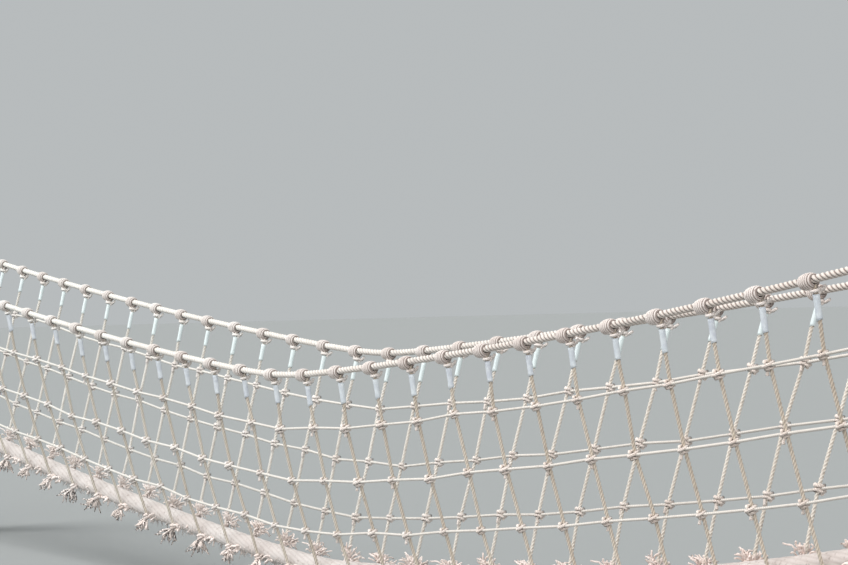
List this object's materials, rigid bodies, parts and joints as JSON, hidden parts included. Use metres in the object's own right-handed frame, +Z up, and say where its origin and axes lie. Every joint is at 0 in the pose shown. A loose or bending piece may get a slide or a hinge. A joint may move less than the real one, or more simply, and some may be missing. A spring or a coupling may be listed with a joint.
{
  "type": "rope suspension footbridge",
  "caption": "Rope footbridge with a V section: a thick foot rope, knotted side nets and two handrail ropes strung between timber end posts.",
  "frame": {"origin": "under the middle of the span, on the level of the post feet", "axes": "+X along the walkway, +Y across it, +Z up"},
  "size_m": [12.854, 1.086, 2.051],
  "materials": {
    "rail_rope": "weathered three-strand natural rope",
    "foot_rope": "weathered thick laid rope, bleached on top",
    "net_rope": "weathered laid rope",
    "sleeve": "cloudy pale plastic tube",
    "timber": "weathered round timber"
  },
  "bodies": {
    "root": {"front_handrail": "rail_rope", "back_handrail": "rail_rope", "foot_rope": "foot_rope", "front_net_1": "net_rope", "front_net_2": "net_rope", "front_net_3": "net_rope", "front_net_4": "net_rope", "front_net_5": "net_rope", "front_net_6": "net_rope", "front_net_7": "net_rope", "back_net_1": "net_rope", "back_net_2": "net_rope", "back_net_3": "net_rope", "back_net_4": "net_rope", "back_net_5": "net_rope", "back_net_6": "net_rope", "back_net_7": "net_rope", "left_front_post": "timber", "left_back_post": "timber", "left_sill_log": "timber", "right_front_post": "timber", "right_back_post": "timber", "right_sill_log": "timber"}
  },
  "joints": []
}
